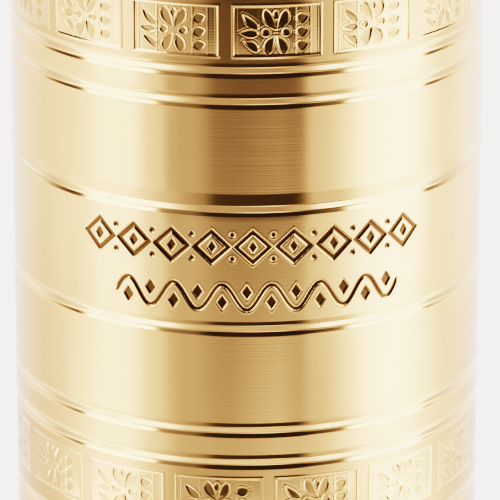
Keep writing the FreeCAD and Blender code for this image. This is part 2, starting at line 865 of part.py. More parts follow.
def make_spindle_nut():
    bottom = "link_bottom - nut_height"
    blank = hexagon("spindle_nut_flats", "nut_radius", bottom, "link_bottom", x="knob_place")
    bore = rod("spindle_nut_bore", "spindle_radius", f"{bottom} - 1", "link_bottom + 1", x="knob_place")
    keep("spindle_nut", cut("spindle_nut", blank, [bore]))


def make_knob():
    """Turned about its own axis, then set over the spindle."""
    bore = "spindle_radius + running_clearance"
    recess = "spindle_head_radius + 0.15"
    recess_floor = "knob_top - spindle_head_height - 0.15"
    outline = [
        (bore, "knob_bottom"),
        ("knob_foot_radius", "knob_bottom"),
        ("knob_foot_radius", "knob_bottom + 1.2"),
        ("knob_neck_radius", "knob_neck_height"),
        ("knob_belly_radius", "knob_belly_height"),
        ("knob_crown_radius", "knob_top"),
        (recess, "knob_top"),
        (recess, recess_floor),
        (bore, recess_floor),
    ]
    blank = turned("knob", outline, {3: ("knob_belly_radius * 1.4", 1), 4: ("knob_belly_radius", 1)})
    put(blank, x="knob_place")
    keep("knob", blank)


make_lower_tube()
make_base_cap()
make_upper_tube()
make_spigot_sleeve()
make_outer_burr()
make_inner_burr()
make_bottom_bridge()
make_bridge_screws()
make_adjusting_screw()
make_thrust_ball()
make_drive_shaft()
make_burr_pin()
clip("retaining_clip", "clip_height", "clip_groove_radius", "clip_radius")
washer(
    "spring_washer",
    "shaft_radius + 0.1",
    "washer_radius",
    "clip_height + clip_thickness",
    "clip_height + clip_thickness + washer_thickness",
)
make_tension_spring()
make_top_spider()
make_spider_bush()
make_lid_dome()
make_lid_collar()
make_lid_bush()
make_crank_hub()
clip("hub_clip", "hub_clip_bottom", "hub_clip_groove", "lid_bush_radius")
make_cap_nut()
make_crank_link()
make_hinge_pin()
make_crank_arm()
make_knob_spindle()
washer(
    "spindle_washer",
    "spindle_radius + 0.05",
    "spindle_washer_radius",
    "link_bottom + strip_thickness",
    "link_bottom + strip_thickness + spindle_washer_height",
    x="knob_place",
)
make_spindle_nut()
make_knob()
doc.recompute()

for thing in doc.Objects:
    if {"Invalid", "Error"} & set(thing.State):
        raise RuntimeError(f"{thing.Label} failed: {thing.State}")
for label, thing in nodes.items():
    if thing.Shape.isNull() or not thing.Shape.isValid():
        raise RuntimeError(f"{label} has no valid shape")

os.makedirs("parts", exist_ok=True)
for label, thing in nodes.items():
    thing.Shape.exportStep(f"parts/{label}.step")
    print(f"{label:16} {len(thing.Shape.Solids)} solid(s) {thing.Shape.Volume:10.2f} mm3")
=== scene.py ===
import json
import math

import bmesh
import bpy
import numpy as np
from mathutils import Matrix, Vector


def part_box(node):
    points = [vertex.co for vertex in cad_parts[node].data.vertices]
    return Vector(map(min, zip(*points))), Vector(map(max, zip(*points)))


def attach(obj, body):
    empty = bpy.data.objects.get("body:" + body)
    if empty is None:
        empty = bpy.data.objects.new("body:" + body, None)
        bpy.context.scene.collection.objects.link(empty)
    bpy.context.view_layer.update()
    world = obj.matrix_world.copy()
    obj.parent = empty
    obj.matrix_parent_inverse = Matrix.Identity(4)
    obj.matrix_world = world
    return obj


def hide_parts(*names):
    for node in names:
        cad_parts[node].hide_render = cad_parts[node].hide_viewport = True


# A brass crank pepper mill. The tubes, foot, lid, knob, acorn nut and spring are rebuilt here, with turned
# rings, embossed panels and engraved ornament. The other pieces are CAD shapes, most of them with their edges
# rounded. Metres, with the mill's axis on Z.

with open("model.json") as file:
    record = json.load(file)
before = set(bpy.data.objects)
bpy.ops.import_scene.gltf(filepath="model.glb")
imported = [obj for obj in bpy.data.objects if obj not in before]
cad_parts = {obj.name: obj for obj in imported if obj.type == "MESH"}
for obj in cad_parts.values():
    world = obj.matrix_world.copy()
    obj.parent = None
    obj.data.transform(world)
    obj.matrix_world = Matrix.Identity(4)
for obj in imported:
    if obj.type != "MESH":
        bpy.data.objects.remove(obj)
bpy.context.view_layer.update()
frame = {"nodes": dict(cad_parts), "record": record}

MM = 0.001
SLOTS = {entry["node"]: entry["material_slot"] for entry in frame["record"]["subparts"]}
BODY_OF = {node: body for body, nodes in frame["record"]["behaviour"]["bodies"].items() for node in nodes}
JOINTS = {joint["name"]: joint for joint in frame["record"]["behaviour"]["joints"]}


def top_of(node):
    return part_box(node)[1].z


def foot_of(node):
    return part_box(node)[0].z


# ---- driving sizes, from the frame where it gives them ----------------------------------------------------

SEAM = top_of("lower_tube")
WALL_FOOT = foot_of("lower_tube")
RIM_TOP = top_of("upper_tube")
BODY_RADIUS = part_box("lower_tube")[1].x
BORE_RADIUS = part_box("top_spider")[1].x

# Turned rings, as steps up and down from the seam. Each step is to the next ring's dark line.
UPPER_STEPS = np.array([11.36, 3.26, 9.65, 3.4, 13.0, 3.4, 9.65, 3.4]) * MM
LOWER_STEPS = np.array([13.03, 11.16, 3.54, 9.65, 3.4, 13.0, 3.4, 9.65, 3.4]) * MM
UPPER_RINGS = SEAM + np.cumsum(UPPER_STEPS)
LOWER_RINGS = SEAM - np.cumsum(LOWER_STEPS)

PANEL_COUNT = 15
PANEL_HEIGHT = 5.65 * MM
PANEL_TURN = math.radians(21.3)
PANEL_PITCH = 2 * math.pi / PANEL_COUNT
UPPER_PHASE = math.radians(-3.5)
LOWER_PHASE = math.radians(6.6)


# ---- materials --------------------------------------------------------------------------------------------

def node_adder(tree):
    """A function that adds a shader node to tree and sets its inputs, linking those given as sockets."""

    def add(kind, inputs=None, **settings):
        node = tree.nodes.new("ShaderNode" + kind)
        for key, value in settings.items():
            setattr(node, key, value)
        for key, value in (inputs or {}).items():
            if isinstance(value, bpy.types.NodeSocket):
                tree.links.new(value, node.inputs[key])
            else:
                node.inputs[key].default_value = value
        return node

    return add


def new_material(name):
    """A material with its shader, and functions that add nodes and link an output to the shader."""
    material = bpy.data.materials.new(name)
    material.use_nodes = True
    tree = material.node_tree
    shader = tree.nodes["Principled BSDF"]

    def link(output, socket):
        tree.links.new(output, shader.inputs[socket])

    return material, shader, node_adder(tree), link


LATHE_LINES = (30, 30, 9000)
SMUDGES = 90.0
# Dark brown that the metals mix into their hollows: partly tarnish, partly painted shade in grooves and
# recesses.
HOLLOW_TARNISH_AND_SHADE = (0.11, 0.055, 0.022, 1)
HOLLOW_ROUGHNESS = 0.12
ROUND_THE_AXIS = 0.25


def metal(name, colour, roughness, brush=0.0, anisotropy=0.0, grain=0.06):
    """A turned metal: fine lines round the axis, faint handling marks, and hollows darkened with tarnish and
    painted shade.

    brush is the depth of the lathe lines in millimetres, and grain is how much the roughness varies.
    """
    material, shader, add, link = new_material(name)
    shader.inputs["Metallic"].default_value = 1.0
    shader.inputs["Anisotropic"].default_value = anisotropy
    shader.inputs["Anisotropic Rotation"].default_value = ROUND_THE_AXIS
    place = add("TexCoord").outputs["Object"]
    round_axis = add("Mapping", {"Vector": place, "Scale": LATHE_LINES}).outputs["Vector"]
    lines = add("TexNoise", {"Vector": round_axis, "Scale": 1.0, "Detail": 3.0, "Roughness": 0.65})
    smudge = add("TexNoise", {"Vector": place, "Scale": SMUDGES, "Detail": 4.0, "Roughness": 0.6})
    hollow = add("Attribute", attribute_name="hollow").outputs["Fac"]
    line_part = add("MapRange", {"Value": lines.outputs["Fac"], "To Min": -grain, "To Max": grain})
    smudge_part = add("MapRange", {"Value": smudge.outputs["Fac"], "To Min": -grain / 2, "To Max": grain / 2})
    both = add("Math", {0: line_part.outputs[0], 1: smudge_part.outputs[0]}, operation="ADD")
    with_base = add("Math", {0: both.outputs[0], 1: roughness}, operation="ADD", use_clamp=True)
    worn = add("Math", {0: hollow, 1: HOLLOW_ROUGHNESS, 2: with_base.outputs[0]}, operation="MULTIPLY_ADD")
    link(worn.outputs[0], "Roughness")
    shade = add("MapRange", {"Value": smudge.outputs["Fac"], "To Min": 0.94, "To Max": 1.03})
    tint = add("VectorMath", {0: colour, "Scale": shade.outputs[0]}, operation="SCALE")
    # Hollows are mixed towards the dark brown: tarnish and painted shade together.
    tarnish_and_painted_shade = add("Mix", {0: hollow, 6: tint.outputs[0], 7: HOLLOW_TARNISH_AND_SHADE}, data_type="RGBA")
    link(tarnish_and_painted_shade.outputs[2], "Base Color")
    if brush:
        bump = add("Bump", {"Height": lines.outputs["Fac"], "Strength": 1.0, "Distance": brush * MM})
        link(bump.outputs["Normal"], "Normal")
    return material


def cast_iron(name):
    """Grey iron with a sandy skin and rubbed high spots."""
    material, shader, add, link = new_material(name)
    shader.inputs["Metallic"].default_value = 1.0
    place = add("TexCoord").outputs["Object"]
    sand = add("TexNoise", {"Vector": place, "Scale": 1400.0, "Detail": 5.0, "Roughness": 0.7})
    patch = add("TexNoise", {"Vector": place, "Scale": 220.0, "Detail": 3.0})
    colour = add("ValToRGB", {"Fac": patch.outputs["Fac"]})
    colour.color_ramp.elements[0].color = (0.09, 0.088, 0.086, 1)
    colour.color_ramp.elements[1].color = (0.27, 0.265, 0.26, 1)
    link(colour.outputs["Color"], "Base Color")
    rough = add("MapRange", {"Value": patch.outputs["Fac"], "To Min": 0.38, "To Max": 0.66})
    link(rough.outputs[0], "Roughness")
    bump = add("Bump", {"Height": sand.outputs["Fac"], "Strength": 0.8, "Distance": 0.05 * MM})
    link(bump.outputs["Normal"], "Normal")
    return material


BRASS = (0.93, 0.51, 0.22)
POLISHED = metal("brass_polished", BRASS, 0.12, brush=0.001, grain=0.03)
SATIN = metal("brass_satin", BRASS, 0.115, brush=0.0028, anisotropy=0.9, grain=0.03)
INNER = metal("brass_inner", (0.90, 0.63, 0.35), 0.33, brush=0.004, grain=0.06)
BORE = metal("brass_bore", (0.93, 0.76, 0.50), 0.40, brush=0.004, grain=0.06)
BRONZE = metal("bronze", (0.62, 0.38, 0.19), 0.34, brush=0.003, grain=0.06)
STEEL = metal("steel", (0.40, 0.40, 0.41), 0.27, brush=0.003, grain=0.07)
BALL = metal("hard_steel", (0.74, 0.75, 0.77), 0.08, grain=0.02)
IRON = cast_iron("burr_iron")

SLOT_MATERIALS = {
    "brass_body": POLISHED,
    "brass_handle": POLISHED,
    "brass_inner": INNER,
    "bronze": BRONZE,
    "steel": STEEL,
    "hard_steel": BALL,
    "burr_iron": IRON,
}


# ---- meshes -----------------------------------------------------------------------------------------------

SHARP_ANGLE = math.radians(50)


def new_piece(name, vertices, faces, body, node, materials, marks=None, hollow=None):
    """A mesh piece that rides on a body and stands for a node.

    marks gives each face's material number, and hollow how deep in a hollow each vertex is, 0 to 1; the
    metals darken hollows with tarnish and painted shade.
    """
    mesh = bpy.data.meshes.new(name)
    mesh.from_pydata(vertices, [], faces)
    if marks is not None:
        mesh.polygons.foreach_set("material_index", np.asarray(marks, np.int32))
    depth = np.zeros(len(mesh.vertices), np.float32) if hollow is None else hollow.astype(np.float32)
    mesh.attributes.new("hollow", "FLOAT", "POINT").data.foreach_set("value", depth)
    mesh.polygons.foreach_set("use_smooth", np.ones(len(mesh.polygons), bool))
    mesh.set_sharp_from_angle(angle=SHARP_ANGLE)
    mesh.update()
    piece = bpy.data.objects.new(name, mesh)
    bpy.context.scene.collection.objects.link(piece)
    for material in materials:
        mesh.materials.append(material)
    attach(piece, body)
    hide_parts(node)
    return piece


def lathe(profile, segments, centre=(0.0, 0.0)):
    """Vertices and quads of a closed (radius, height) outline turned about an upright axis."""
    profile = np.asarray(profile, float)
    turn = np.linspace(0, 2 * math.pi, segments, endpoint=False)
    radius, height = profile[:, 0], profile[:, 1]
    vertices = np.stack(
        [
            centre[0] + np.outer(radius, np.cos(turn)),
            centre[1] + np.outer(radius, np.sin(turn)),
            np.repeat(height[:, None], segments, axis=1),
        ],
        axis=-1,
    ).reshape(-1, 3)
    faces = []
    rows = len(profile)
    for row in range(rows):
        above = (row + 1) % rows
        for column in range(segments):
            beside = (column + 1) % segments
            faces.append(
                (
                    row * segments + column,
                    row * segments + beside,
                    above * segments + beside,
                    above * segments + column,
                )
            )
    return vertices, faces


def arc(centre, radius, start, end, steps):
    """Points of an arc in the (radius, height) plane, angles in degrees."""
    angle = np.radians(np.linspace(start, end, steps))
    return [(centre[0] + radius * math.cos(a), centre[1] + radius * math.sin(a)) for a in angle]


def smooth(edge0, edge1, value):
    """0 at edge0 and beyond, 1 at edge1 and beyond, and an even passage between them."""
    share = np.clip((value - edge0) / (edge1 - edge0), 0, 1)
    return share * share * (3 - 2 * share)


# ---- the turned wall --------------------------------------------------------------------------------------

# A ring's profile in millimetres, as (height above its dark line, how far it stands out): a flank that faces
# up, the groove, a lip that faces down and a soft shoulder.
RING = [
    (-0.32, 0.0), (-0.25, 0.0), (0.1, -0.145), (0.18, -0.155), (0.27, -0.14), (0.84, 0.055), (0.92, 0.072),
    (0.99, 0.066), (1.22, 0.012), (1.32, 0.0),
]
RING_FOOT, RING_HEAD = RING[0][0] * MM, RING[-1][0] * MM
# The two tubes meet at the bottom of a groove of the same kind, with a wider shoulder above.
SEAM_LIP = [
    (0.0, -0.155), (0.1, -0.145), (0.74, 0.07), (0.83, 0.09), (0.93, 0.085), (1.95, 0.005), (2.05, 0.0),
]
SEAM_EDGE = [(-0.43, 0.0), (-0.36, -0.002), (-0.02, -0.145), (0.0, -0.155)]
SEAM_CLEAR = 0.02 * MM
SATIN_LIFT = 0.7 * MM
FINE_ROW = 0.05 * MM
COARSE_ROW = 1.2 * MM
DOUBLE_ROW = 0.005 * MM
# The plain wall has a row this close to a ring, so that the ring's shading doesn't spread over the wall.
GUARD = 0.06 * MM
WALL_SIDES = 384


def wall_radius(heights, rings):
    heights_mm, stands_out = zip(*RING)
    radius = np.full(len(heights), BODY_RADIUS)
    for ring in rings:
        radius += np.interp((heights - ring) / MM, heights_mm, stands_out) * MM
    return radius


def spaced(rows):
    """Rows in order, without near doubles."""
    rows = np.unique(np.round(rows, 7))
    return rows[np.concatenate([[True], np.diff(rows) > DOUBLE_ROW])]


def ring_rows(low, high, rings):
    """Heights from low to high, close together at the rings."""
    rows = [np.linspace(low, high, max(2, int((high - low) / COARSE_ROW) + 1))]
    for ring in rings:
        start = max(low, ring + RING_FOOT - 2 * GUARD)
        stop = min(high, ring + RING_HEAD + 2 * GUARD)
        if stop > start:
            rows.append(np.arange(start, stop, FINE_ROW))
    return spaced(np.concatenate(rows))


def edge_rows(height, shape):
    """An edge's (radius, height) profile, filled in to the same fineness as the rings."""
    heights, stands_out = np.array(shape).T
    between = np.arange(heights[0] * MM, heights[-1] * MM, FINE_ROW)
    fine = spaced(np.concatenate([heights * MM, between])) / MM
    stands_out = np.interp(fine, heights, stands_out)
    return [(BODY_RADIUS + out * MM, height + up * MM) for up, out in zip(fine, stands_out)]


def tube_piece(name, body, node, low, high, rings, bands=(), foot=(), head=()):
    """A plain length of wall with its rings.

    bands are the (low, high) stretches with the satin finish, and foot and head the profiles of shaped ends.
    """
    bottom = foot[-1][1] if foot else low
    top = head[0][1] if head else high
    guards = ([bottom + GUARD] if foot else []) + ([top - GUARD] if head else [])
    rows = spaced(np.append(ring_rows(bottom, top, rings), guards))
    outer = list(foot[:-1]) + list(zip(wall_radius(rows, rings), rows)) + list(head[1:])
    profile = [(BORE_RADIUS, low)] + outer + [(BORE_RADIUS, high)]
    vertices, faces = lathe(profile, WALL_SIDES)
    middles = [(this[1] + above[1]) / 2 for this, above in zip(profile, profile[1:])]
    last = len(middles) - 1
    satin = [
        0 < i < last and any(band[0] < middle < band[1] for band in bands) for i, middle in enumerate(middles)
    ]
    marks = np.repeat(np.array(satin + [2], np.int32), WALL_SIDES)
    return new_piece(name, vertices, faces, body, node, [POLISHED, SATIN, BORE], marks)


def round_wall(radius, turns, heights):
    """Points at a radius and height round the mill, turned from the front (-Y) towards +X."""
    return np.stack(np.broadcast_arrays(radius * np.sin(turns), -radius * np.cos(turns), heights), axis=-1)


def relief_piece(name, body, node, low, high, turns, rows, relief, hollow):
    """A length of wall whose outside follows relief(turn, height), as a closed ring with a plain bore."""
    turn, height = np.meshgrid(turns, rows)
    radius = BODY_RADIUS + relief(turn, height)
    outer = round_wall(radius, turn, height).reshape(-1, 3)
    inner = np.concatenate([round_wall(BORE_RADIUS, turns, high), round_wall(BORE_RADIUS, turns, low)])
    vertices = np.concatenate([outer, inner])
    columns = len(turns)
    ring_starts = [row * columns for row in range(len(rows))]
    ring_starts += [len(outer), len(outer) + columns]
    column = np.arange(columns)
    beside = (column + 1) % columns
    faces = []
    for this, above in zip(ring_starts, ring_starts[1:] + ring_starts[:1]):
        faces.append(np.stack([this + column, this + beside, above + beside, above + column], axis=-1))
    marks = np.zeros(len(ring_starts) * columns, np.int32)
    marks[-2 * columns:-columns] = 1
    faces = np.concatenate(faces).tolist()
    depth = np.concatenate([hollow(turn, height).ravel(), np.zeros(len(inner))])
    return new_piece(name, vertices, faces, body, node, [POLISHED, BORE], marks, depth)


# ---- embossed panels --------------------------------------------------------------------------------------

def ellipse(x, y, centre, size):
    """Roughly how far points are outside an ellipse, negative inside."""
    return (np.hypot((x - centre[0]) / size[0], (y - centre[1]) / size[1]) - 1) * min(size)


def leaf(x, y, root, tip, width, bend):
    """Roughly how far points are outside a pointed leaf that runs from root to tip and bends aside."""
    run = np.array(tip) - np.array(root)
    length = np.hypot(*run)
    unit = run / length
    along = ((x - root[0]) * unit[0] + (y - root[1]) * unit[1]) / length
    across = -(x - root[0]) * unit[1] + (y - root[1]) * unit[0]
    share = np.clip(along, 0, 1)
    half = width * np.sin(share**0.75 * math.pi) ** 0.75
    ends = np.maximum(-along, along - 1) * length
    return np.maximum(np.abs(across - bend * np.sin(share * math.pi)) - half, ends)


def ridge(distance, place, width, height):
    """A rounded ridge, or a furrow for a negative height, where distance equals place."""
    return height * np.exp(-(((distance - place) / width) ** 2))


# One panel's drawing in millimetres, from its left edge, and for leaves and seeds from its middle height.
PANEL_MM = PANEL_TURN * BODY_RADIUS / MM
MIDDLE = PANEL_HEIGHT / MM / 2
UPRIGHTS = (0.68, 2.72, 6.5, 8.05)
FLOWER = 4.5
# Root, tip, half-width, bend and middle height.
LEAVES = [
    ((2.7, 0.32), (1.12, 1.78), 0.42, 0.1, 1.05),
    ((2.7, -0.2), (0.88, -0.12), 0.42, 0.0, -0.15),
    ((2.7, -2.05), (1.2, -1.0), 0.42, -0.16, -1.5),
    ((3.35, 2.28), (FLOWER - 0.05, 0.2), 0.52, -0.12, 1.3),
    ((5.62, 2.2), (FLOWER + 0.15, 0.2), 0.52, 0.12, 1.3),
    ((3.55, -2.35), (FLOWER - 0.1, -0.45), 0.52, 0.16, -1.45),
    ((5.4, -2.35), (FLOWER + 0.1, -0.45), 0.52, -0.16, -1.45),
]
SMALL_LEAVES = [-1.52, -0.1, 1.32]
LEAVES += [((6.55, middle - 0.1), (7.84, middle + 0.16), 0.56, -0.08, middle) for middle in SMALL_LEAVES]
# Middle and half-size.
SEEDS = [((FLOWER, 1.75), (0.34, 0.46))]
SEEDS += [((FLOWER + aside, -0.08), (0.46, 0.42)) for aside in (-1.02, 1.02)]
PETAL_DEPTH = 0.075
PETAL_TILT = 0.055
RIPPLE = 0.0012


def panel_petals(x, y):
    """For the leaves and seeds of one panel, how far points are outside each and the height of its middle."""
    up = y - MIDDLE
    distances = [leaf(x, up, root, tip, width, bend) for root, tip, width, bend, _ in LEAVES]
    distances += [ellipse(x, up, centre, size) for centre, size in SEEDS]
    middles = [entry[-1] for entry in LEAVES] + [centre[1] for centre, _ in SEEDS]
    return np.array(distances), np.array(middles) + MIDDLE


def panel_relief(x, y):
    """Height in millimetres and hollow of a panel: a frame, upright lines, sunk petals and rippled sides."""
    from_side = np.minimum(x, PANEL_MM - x)
    edge = np.minimum(from_side, np.minimum(y, 2 * MIDDLE - y))
    within = smooth(0.25, 0.4, edge)
    frame_line = ridge(edge, 0.12, 0.08, 0.048) + ridge(from_side, 0.42, 0.05, 0.025) * smooth(0.1, 0.3, edge)
    field = (0.05 * (1 - ((y - MIDDLE) / MIDDLE) ** 2) - 0.09) * smooth(0.2, 0.34, edge)
    from_upright = np.minimum.reduce([np.abs(x - place) for place in UPRIGHTS])
    uprights = ridge(from_upright, 0, 0.05, 0.03) * within
    distances, middles = panel_petals(x, y)
    nearest = distances.min(axis=0)
    above_middle = np.clip((y - middles[distances.argmin(axis=0)]) / 0.6, -1, 1)
    rim = (ridge(nearest, 0.03, 0.045, 0.024) + ridge(nearest, 0.15, 0.05, -0.016)) * within
    bowl = smooth(0.01, -0.16, nearest)
    sunk = (PETAL_DEPTH + PETAL_TILT * above_middle) * bowl
    strip = np.maximum(smooth(0.66, 0.58, x), smooth(8.07, 8.15, x)) * within
    ripple = RIPPLE * strip * np.sin(2 * math.pi * (y / 0.29 + 0.12 * np.sin(4.7 * y + x)))
    # Hollow darkens the sunk petals and the wall from each panel's border outwards: painted shade, with some
    # tarnish.
    hollow = 0.45 * bowl + 0.25 * smooth(0.02, -0.1, edge)
    return frame_line + field + uprights + rim + ripple - sunk, hollow


def panel_band(phase, low, strength):
    """Relief and hollow functions of a whole band of panels that starts at phase."""

    def measure(turn, height):
        share = np.mod(turn - phase, PANEL_PITCH)
        return panel_relief(share * BODY_RADIUS / MM, (height - low) / MM)

    def relief(turn, height):
        return measure(turn, height)[0] * strength * MM

    def hollow(turn, height):
        return np.clip(measure(turn, height)[1] * strength, 0, 1)

    return relief, hollow


def turns_round(fine_from, fine_to, fine, coarse):
    """Angles round the wall in degrees from the front: finely spaced in front, coarser behind."""
    front = np.arange(fine_from, fine_to, fine)
    back = np.arange(fine_to, fine_from + 360 - coarse / 2, coarse)
    return np.radians(np.concatenate([front, back]))


# How fine a band's mesh is: degrees between columns in front and behind, and the step between rows.
NEAR_MESH = {"front": 0.16, "back": 0.6, "step": 0.08 * MM}
FAR_MESH = {"front": 0.42, "back": 0.42, "step": 0.12 * MM}
FRONT = 60
CARVED_PAST = 0.2 * MM
# The panels' height above the ring below them, and how deep they are struck.
UPPER_PANELS = {"margin": 1.85 * MM, "strength": 1.0}
LOWER_PANELS = {"margin": 2.9 * MM, "strength": 0.62}
# Heights closer than this are the same.
SAME_HEIGHT = 0.001 * MM


def make_panel_band(name, body, node, low_ring, high_ring, phase, panels, fineness):
    """The length of wall between two rings, with panels all round."""
    panel_low = low_ring + panels["margin"]
    turns = turns_round(-FRONT, FRONT, fineness["front"], fineness["back"])
    panel_top = panel_low + PANEL_HEIGHT
    carved = np.arange(panel_low - CARVED_PAST, panel_top + CARVED_PAST, fineness["step"])
    bottom, top = low_ring + RING_HEAD, high_ring + RING_FOOT
    rows = np.concatenate([[bottom], carved, [top]])
    relief, hollow = panel_band(phase, panel_low, panels["strength"])

    def between_ends(turn, height):
        return relief(turn, height) * (height > bottom + SAME_HEIGHT) * (height < top - SAME_HEIGHT)

    return relief_piece(name, body, node, bottom, top, turns, rows, between_ends, hollow)


# ---- engraved ornament ------------------------------------------------------------------------------------

# Millimetres: the depth of the lines, half their width and the height of the burr beside them.
ENGRAVING_DEPTH = 0.15
STROKE = 0.25
BURR = 0.009


def lozenge(x, y, centre, half_width, half_height):
    """Distance from the outline of a diamond."""
    slope = math.hypot(1 / half_width, 1 / half_height)
    return np.abs(np.abs(x - centre[0]) / half_width + np.abs(y - centre[1]) / half_height - 1) / slope


def diamond(x, y, centre, half_width, half_height):
    """Distance outside a filled diamond."""
    slope = math.hypot(1 / half_width, 1 / half_height)
    return np.maximum(np.abs(x - centre[0]) / half_width + np.abs(y - centre[1]) / half_height - 1, 0) / slope


def dot(x, y, centre, radius):
    """Distance outside a disc."""
    return np.maximum(np.hypot(x - centre[0], y - centre[1]) - radius, 0)


def wave(x, y, height, rise, length, start):
    """Distance from a wavy line."""
    phase = 2 * math.pi * (x - start) / length
    slope = rise * 2 * math.pi / length * np.cos(phase)
    return np.abs(y - height - rise * np.sin(phase)) / np.sqrt(1 + slope**2)


# Both rows in millimetres, along the wall from the front and up from the ring below.
UPPER_ROW = {
    "left": -18.4, "right": 19.7, "height": 9.4, "cells": 9, "width_share": 0.41, "half_height": 1.62,
    "heart": (0.2, 0.3), "dot_rise": 1.3, "dot": 0.05,
}
LOWER_ROW = {
    "left": -14.0, "right": 16.6, "height": 3.95, "cells": 6, "rise": 1.35, "thinner": 0.04,
    "diamond": (0.3, 0.44), "diamond_rise": 0.55,
}


def upper_row_lines(x, y):
    """Distances from the diamonds, their filled hearts and the dots between them."""
    row = UPPER_ROW
    step = (row["right"] - row["left"]) / row["cells"]
    lines = []
    for cell in range(row["cells"]):
        centre = (row["left"] + (cell + 0.5) * step, row["height"])
        lines.append(lozenge(x, y, centre, step * row["width_share"], row["half_height"]))
        lines.append(diamond(x, y, centre, *row["heart"]))
        if cell:
            between = centre[0] - step / 2
            for side in (-1, 1):
                lines.append(dot(x, y, (between, row["height"] + side * row["dot_rise"]), row["dot"]))
    return lines


def lower_row_lines(x, y):
    """Distances from the wavy line and the filled diamonds in its bends."""
    row = LOWER_ROW
    step = (row["right"] - row["left"]) / row["cells"]
    past_ends = np.maximum(np.maximum(row["left"] - x, x - row["right"]), 0)
    lines = [np.hypot(wave(x, y, row["height"], row["rise"], step, row["left"]), past_ends) + row["thinner"]]
    for cell in range(row["cells"]):
        for share, side in ((0.25, -1), (0.75, 1)):
            centre = (row["left"] + (cell + share) * step, row["height"] + side * row["diamond_rise"])
            lines.append(diamond(x, y, centre, *row["diamond"]))
    return lines


ENGRAVED_SIDE = {"from": -45, "to": 49, "front": 0.18, "back": 2.0}
ENGRAVED_ROWS = (0.15 * MM, 10.75 * MM, 0.084 * MM)


def make_ornament_band(low, high):
    """The length of wall between the first ring and the seam, with the engraving and the cup's edge."""
    turns = turns_round(*ENGRAVED_SIDE.values())
    edge_radii, edge_heights = np.array(edge_rows(high, SEAM_EDGE)).T
    first, last, step = ENGRAVED_ROWS
    rows = np.concatenate([[low], np.arange(low + first, low + last, step), edge_heights])

    def distance(turn, height):
        along = (np.mod(turn + math.pi, 2 * math.pi) - math.pi) * BODY_RADIUS / MM
        up = (height - LOWER_RINGS[0]) / MM
        return np.minimum.reduce(upper_row_lines(along, up) + lower_row_lines(along, up))

    def relief(turn, height):
        away = distance(turn, height)
        cut = ENGRAVING_DEPTH * smooth(STROKE + 0.03, STROKE - 0.1, away)
        burr = ridge(away, STROKE + 0.08, 0.06, BURR)
        inside = (height > low + SAME_HEIGHT) * (height < edge_heights[0])
        return inside * (burr - cut) * MM + np.interp(height, edge_heights, edge_radii - BODY_RADIUS)

    # Hollow darkens the engraved strokes: painted shade in the grooves, with some tarnish.
    def hollow(turn, height):
        return smooth(STROKE + 0.02, STROKE - 0.08, distance(turn, height))

    return relief_piece("wall_ornament", "receiver", "lower_tube", low, high, turns, rows, relief, hollow)


# ---- casing -----------------------------------------------------------------------------------------------

def satin_between(low_ring, high_ring):
    return (low_ring + RING_HEAD, high_ring + RING_FOOT)


BEAD = 1.7 * MM


def make_walls():
    """Both tubes, cut into lengths at the rings."""
    up, down = UPPER_RINGS, LOWER_RINGS
    lower, upper = ("receiver", "lower_tube"), ("mill_body", "upper_tube")
    ornament_low = down[0] + RING_HEAD
    make_ornament_band(ornament_low, SEAM)
    tube_piece(
        "wall_lower_satin", *lower, down[2] + RING_FOOT, ornament_low, down[:3],
        bands=[satin_between(down[1], down[0])],
    )
    make_panel_band("wall_lower_panels", *lower, down[3], down[2], LOWER_PHASE, LOWER_PANELS, NEAR_MESH)
    tube_piece(
        "wall_lower_middle", *lower, down[6] + RING_FOOT, down[3] + RING_HEAD, down[3:7],
        bands=[satin_between(down[5], down[4])],
    )
    make_panel_band("wall_foot_panels", *lower, down[7], down[6], UPPER_PHASE, LOWER_PANELS, FAR_MESH)
    tube_piece("wall_foot", *lower, WALL_FOOT, down[7] + RING_HEAD, down[7:])
    lip_foot = SEAM + SEAM_CLEAR
    tube_piece(
        "wall_upper_satin", *upper, lip_foot, up[1] + RING_HEAD, up[:2],
        bands=[satin_between(SEAM + SATIN_LIFT, up[0])], foot=edge_rows(lip_foot, SEAM_LIP),
    )
    make_panel_band("wall_upper_panels", *upper, up[1], up[2], UPPER_PHASE, UPPER_PANELS, NEAR_MESH)
    tube_piece(
        "wall_upper_middle", *upper, up[2] + RING_FOOT, up[5] + RING_HEAD, up[2:6],
        bands=[satin_between(up[3], up[4])],
    )
    make_panel_band("wall_top_panels", *upper, up[5], up[6], LOWER_PHASE, UPPER_PANELS, FAR_MESH)
    bead = arc((BODY_RADIUS - 0.55 * MM, RIM_TOP - 1.72 * MM), BEAD, -71, 89, 22)
    tube_piece("wall_rim", *upper, up[6] + RING_FOOT, RIM_TOP, up[6:], head=bead)


def weld(vertices, faces):
    """The same vertices and faces as one tidied shape."""
    shape = bmesh.new()
    points = [shape.verts.new(place) for place in vertices]
    for face in faces:
        shape.faces.new([points[corner] for corner in face])
    return tidied(shape)


def tidied(shape):
    """Vertices and faces of a shape without doubles, faces of no area or loose edges, facing outwards."""
    bmesh.ops.remove_doubles(shape, verts=shape.verts, dist=0.001 * MM)
    bmesh.ops.dissolve_degenerate(shape, edges=shape.edges, dist=0.0005 * MM)
    bmesh.ops.delete(shape, geom=[edge for edge in shape.edges if not edge.link_faces], context="EDGES")
    bmesh.ops.delete(shape, geom=[point for point in shape.verts if not point.link_edges], context="VERTS")
    bmesh.ops.recalc_face_normals(shape, faces=shape.faces)
    shape.verts.index_update()
    vertices = np.array([point.co for point in shape.verts])
    faces = [[point.index for point in face.verts] for face in shape.faces]
    shape.free()
    return vertices, faces


def inside_marks(vertices, faces, inside):
    """1 for the faces whose corners are all inside, which get the piece's second material."""
    hidden = np.array([inside(place) for place in vertices])
    return [int(hidden[list(face)].all()) for face in faces]


ROUND_SIDES = 256
KNOB_SIDES = 128
FLOOR_THICKNESS = 2.0 * MM
PLUG_WALL = 1.5 * MM
FOOT_ROUND = 2.0 * MM


